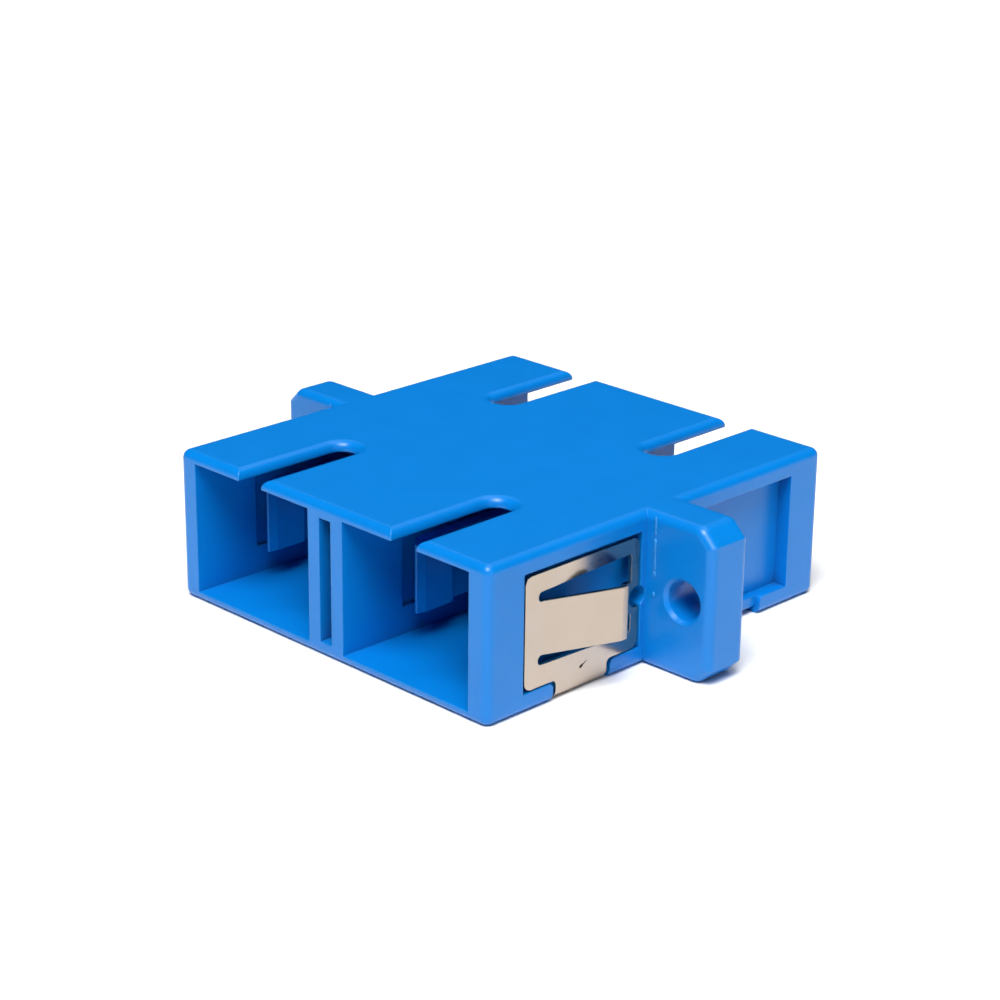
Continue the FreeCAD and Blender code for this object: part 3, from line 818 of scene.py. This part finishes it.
@dataclass
class PressScar:
    """A small dark scar that the press left on the clip's lower strip."""

    # The strip's outer face, and the scar's ends on it as Y and Z.
    face_x: float = mm(12.65)
    start: tuple[float, float] = (mm(-6.52), mm(-3.17))
    end: tuple[float, float] = (mm(-6.08), mm(-2.95))
    bead_radius: float = mm(0.12)
    bead_stretch: float = 1.0
    spacing: float = mm(0.05)
    seed: int = 2
    # The thick head's share of the length, with a row of beads of its own.
    head: float = 0.2
    # The scar thins to a point over this share of its length, by this much.
    taper_length: float = 0.6
    taper: float = 0.75
    # How far it stands out of the strip, as a share of its radius.
    height: float = 0.25

    def build(self) -> Piece:
        """Lay the scar, thick at its front end, on the right of the clip.

        Returns:
            The scar's piece.
        """
        near = Vector((self.face_x, *self.start))
        far = Vector((self.face_x, *self.end))
        neck = near.lerp(far, self.head)
        line = BeadedLine(self.spacing, self.bead_radius, self.bead_stretch, self.seed)
        piece = line.build("press_scar", [(near, neck), (neck, far)], Shade.SCAR)
        run = far - near
        for vertex in piece.data.vertices:
            away = (vertex.co - near).dot(run) / run.length_squared
            girth = 1.0 - self.taper * min(max(away / self.taper_length, 0.0), 1.0)
            axis_point = near.lerp(far, min(max(away, 0.0), 1.0))
            vertex.co = axis_point + (vertex.co - axis_point) * girth
            vertex.co.x = self.face_x + (vertex.co.x - self.face_x) * self.height
        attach(piece, "root")
        return piece


@dataclass
class Casework:
    """The CAD pieces, each dressed in its finish."""

    nodes: dict[str, Piece]

    def finish_of(self, name: str) -> Shade:
        """Choose the finish that a node's piece is made in.

        Args:
            name: the node's name.

        Returns:
            Its finish.
        """
        for key, shade in (
            ("housing", Shade.HOUSING),
            ("latch", Shade.SHADED_LATCH),
            ("sleeve", Shade.SLEEVE),
        ):
            if key in name:
                return shade
        return Shade.CLIP

    def dress(self) -> list[Piece]:
        """Put the finish of each piece in its material slots.

        Returns:
            The dressed pieces.
        """
        for name, piece in sorted(self.nodes.items()):
            material = self.finish_of(name).value.build()
            if not piece.material_slots:
                piece.data.materials.append(material)
            for slot in piece.material_slots:
                slot.material = material
        return [piece for _, piece in sorted(self.nodes.items())]


@dataclass(frozen=True)
class SoftBox:
    """A square soft light that looks at the origin.

    Its spot and its side are in metres and its power is in watts.
    """

    name: str
    spot: tuple[float, float, float]
    side: float
    power: float

    def build(self) -> None:
        """Hang the light."""
        lamp = bpy.data.lights.new(self.name, "AREA")
        lamp.energy = self.power
        lamp.size = self.side
        light = add_object(self.name, lamp)
        light.location = self.spot
        light.rotation_euler = Vector(self.spot).to_track_quat("Z", "Y").to_euler()


@dataclass
class Studio:
    """The sweep, the lights and the camera."""

    floor_level: float
    # Half the side of the floor, and the backdrop's radius round it.
    reach: float = 1.2
    tent_radius: float = 1.9
    tent_subdivisions: int = 4
    boxes: tuple[SoftBox, ...] = (
        SoftBox("key_box", (0.258, -0.447, 0.971), 0.6, 17.0),
        SoftBox("right_box", (0.476, -0.275, 0.953), 0.6, 2.0),
        SoftBox("top_box", (0.0, 0.376, 1.034), 0.6, 2.0),
        SoftBox("left_box", (-0.5, 0.5, 0.843), 0.6, 0.6),
        SoftBox("low_box", (1.051, -0.185, 0.266), 0.4, 1.1),
    )
    # The camera's bearing from the front to the right, its height over the
    # floor and its roll, in degrees; its distance from the origin and its
    # moves to the right and up; and its lens and sensor in millimetres.
    azimuth: float = 44.822
    elevation: float = 20.588
    roll: float = 0.674
    distance: float = mm(148.015)
    shift_right: float = mm(-0.067)
    shift_up: float = mm(1.244)
    focal_length: float = 90.719
    sensor: float = 36.0
    near_clip: float = mm(1)

    def add_sweep(self) -> None:
        """Lay the pale floor and stage it."""
        mesh = bpy.data.meshes.new("sweep")
        r, z = self.reach, self.floor_level
        corners = [(-r, -r, z), (r, -r, z), (r, r, z), (-r, r, z)]
        mesh.from_pydata(corners, [], [(0, 1, 2, 3)])
        mesh.materials.append(Shade.PAPER.value.build())
        add_object("sweep", mesh)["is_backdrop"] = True

    def add_tent(self) -> None:
        """Close the view above the floor with white cloth that lights nothing."""
        shell = bmesh.new()
        bmesh.ops.create_icosphere(
            shell, subdivisions=self.tent_subdivisions, radius=self.tent_radius
        )
        bmesh.ops.reverse_faces(shell, faces=shell.faces)
        mesh = bpy.data.meshes.new("tent")
        shell.to_mesh(mesh)
        shell.free()
        mesh.materials.append(Shade.CLOTH.value.build())
        tent = add_object("tent", mesh)
        for ray in ("diffuse", "glossy", "transmission", "volume_scatter", "shadow"):
            setattr(tent, f"visible_{ray}", False)
        tent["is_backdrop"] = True

    def add_room(self) -> None:
        """Leave the room round the lights dark."""
        world = bpy.data.worlds.new("room")
        world.use_nodes = True
        world.node_tree.nodes["Background"].inputs["Strength"].default_value = 0.0
        bpy.context.scene.world = world

    def add_camera(self) -> None:
        """Place the camera by its bearing, height and roll."""
        turn, rise = math.radians(self.azimuth), math.radians(self.elevation)
        level = math.cos(rise)
        back = Vector((math.sin(turn) * level, -math.cos(turn) * level, math.sin(rise)))
        right = Vector((0, 0, 1)).cross(back).normalized()
        up = back.cross(right)
        c, s = math.cos(math.radians(self.roll)), math.sin(math.radians(self.roll))
        right, up = right * c + up * s, up * c - right * s
        spot = back * self.distance + right * self.shift_right + up * self.shift_up
        lens = bpy.data.cameras.new("camera")
        lens.sensor_width = self.sensor
        lens.lens = self.focal_length
        lens.clip_start = self.near_clip
        camera = add_object("camera", lens)
        axes = Matrix((right, up, back)).transposed()
        camera.matrix_world = Matrix.Translation(spot) @ axes.to_4x4()
        bpy.context.scene.camera = camera

    def build(self) -> None:
        """Set the whole stage."""
        self.add_camera()
        self.add_sweep()
        self.add_tent()
        self.add_room()
        for box in self.boxes:
            box.build()
        bpy.context.scene.view_settings.view_transform = "Standard"


def box_numbers(box: tuple[Vector, Vector]) -> list[list[float]]:
    """Return a box's two corners as plain lists of numbers."""
    return [[float(value) for value in corner] for corner in box]


def main() -> None:
    """Load the frame, dress it, add the small pieces and set the stage."""
    logging.basicConfig(level=logging.INFO, format="%(message)s")
    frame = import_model()
    cad_box = box_numbers(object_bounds())
    pieces = Casework(frame["nodes"]).dress()
    pieces += EarFlash().build()
    pieces.append(PressScar().build())
    for piece in pieces:
        finish = piece.material_slots[-1].material.name
        log.info("%s: %d faces, %s", piece.name, len(piece.data.polygons), finish)
    Studio(floor_level=cad_box[0][2]).build()


if __name__ == "__main__":
    main()
